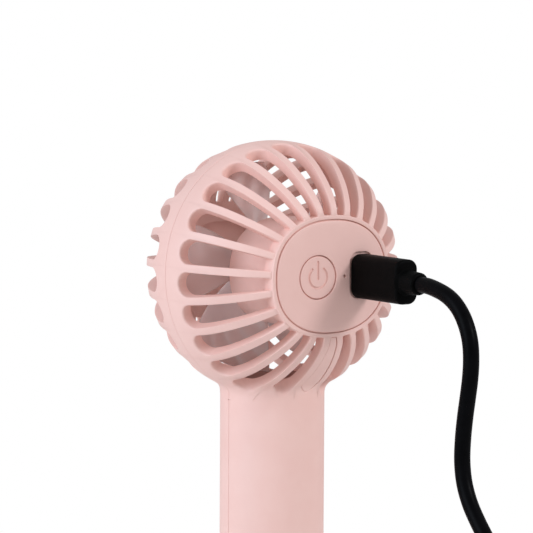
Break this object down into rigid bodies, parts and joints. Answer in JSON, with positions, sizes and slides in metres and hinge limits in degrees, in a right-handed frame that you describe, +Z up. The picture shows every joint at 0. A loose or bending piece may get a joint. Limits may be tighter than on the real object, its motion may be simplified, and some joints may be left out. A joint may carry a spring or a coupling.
{
  "type": "handheld electric fan",
  "caption": "Handheld fan with a slotted ball-shaped cage head on a straight battery handle, a round push button and a plugged-in charging lead.",
  "frame": {"origin": "middle of the handle's flat base, on the surface that the fan stands on", "axes": "+Z up the handle to the head, +Y out of the rear where the button and the socket are, -Y the way the air blows"},
  "size_m": [0.0707, 0.1216, 0.1719],
  "materials": {
    "pink_abs": "moulded pink ABS, fine matte texture",
    "smoke_plastic": "translucent smoky polystyrene, polished mould",
    "black_overmold": "black thermoplastic elastomer, satin",
    "black_cable": "black PVC sheath, satin",
    "plug_steel": "drawn stainless steel",
    "motor_steel": "zinc plated steel",
    "screw_steel": "nickel plated screws",
    "nickel_strip": "nickel plated strip",
    "collar_brass": "turned brass",
    "bush_bronze": "sintered bronze",
    "copper": "enamelled copper and copper strip",
    "ferrite": "sintered ferrite, dull grey",
    "chip_plastic": "black epoxy and nylon",
    "board_laminate": "glass laminate with green solder mask",
    "nylon": "natural nylon",
    "battery_sleeve": "lithium cell in a blue shrink sleeve",
    "foam": "closed cell foam",
    "red_wire": "red wire insulation",
    "black_wire": "black wire insulation"
  },
  "bodies": {
    "housing": {"base_cap": "pink_abs", "battery_cell": "battery_sleeve", "battery_wire_black": "black_wire", "battery_wire_red": "red_wire", "board_screw_1": "screw_steel", "board_screw_2": "screw_steel", "bottom_foam_pad": "foam", "brush_1": "copper", "brush_2": "copper", "charge_chip": "chip_plastic", "control_board": "board_laminate", "front_bush": "bush_bronze", "front_cap": "pink_abs", "front_shell": "pink_abs", "hub_cap": "pink_abs", "lower_foam_ring": "foam", "magnet_1": "ferrite", "magnet_2": "ferrite", "motor_can": "motor_steel", "motor_end_bell": "nylon", "motor_pod": "pink_abs", "motor_screw_1": "screw_steel", "motor_screw_2": "screw_steel", "motor_terminal_1": "nickel_strip", "motor_terminal_2": "nickel_strip", "negative_tab": "nickel_strip", "pod_screw_1": "screw_steel", "pod_screw_2": "screw_steel", "pod_screw_3": "screw_steel", "positive_tab": "nickel_strip", "power_inductor": "ferrite", "rear_bush": "bush_bronze", "rear_shell": "pink_abs", "status_led": "nylon", "switch_body": "chip_plastic", "upper_foam_ring": "foam", "usb_socket": "plug_steel", "usb_tongue": "chip_plastic", "wire_cover": "pink_abs"},
    "rotor": {"rotor_core": "motor_steel", "winding_1": "copper", "winding_2": "copper", "winding_3": "copper", "commutator": "copper", "motor_shaft": "motor_steel", "impeller": "smoke_plastic", "shaft_collar": "collar_brass"},
    "button": {"power_button": "pink_abs", "switch_plunger": "nylon"},
    "charging_lead": {"plug_overmold": "black_overmold", "plug_shell": "plug_steel", "plug_collar": "black_overmold", "cord_drop": "black_cable", "cord_coil": "black_cable", "cord_tail": "black_cable", "usb_a_collar": "black_overmold", "usb_a_overmold": "black_overmold", "usb_a_shell": "plug_steel"}
  },
  "joints": [
    {"name": "fan_spin", "type": "hinge", "parent": "housing", "child": "rotor", "pos_m": [0, 0, 0.1377], "axis": [0, 1, 0], "continuous": true},
    {"name": "button_press", "type": "slide", "parent": "housing", "child": "button", "axis": [0, -1, 0], "range_m": [0, 0.0004], "stiffness_N_per_m": 500},
    {"name": "plug_pull", "type": "slide", "parent": "housing", "child": "charging_lead", "axis": [0, 1, 0], "range_m": [0, 0.012]}
  ]
}
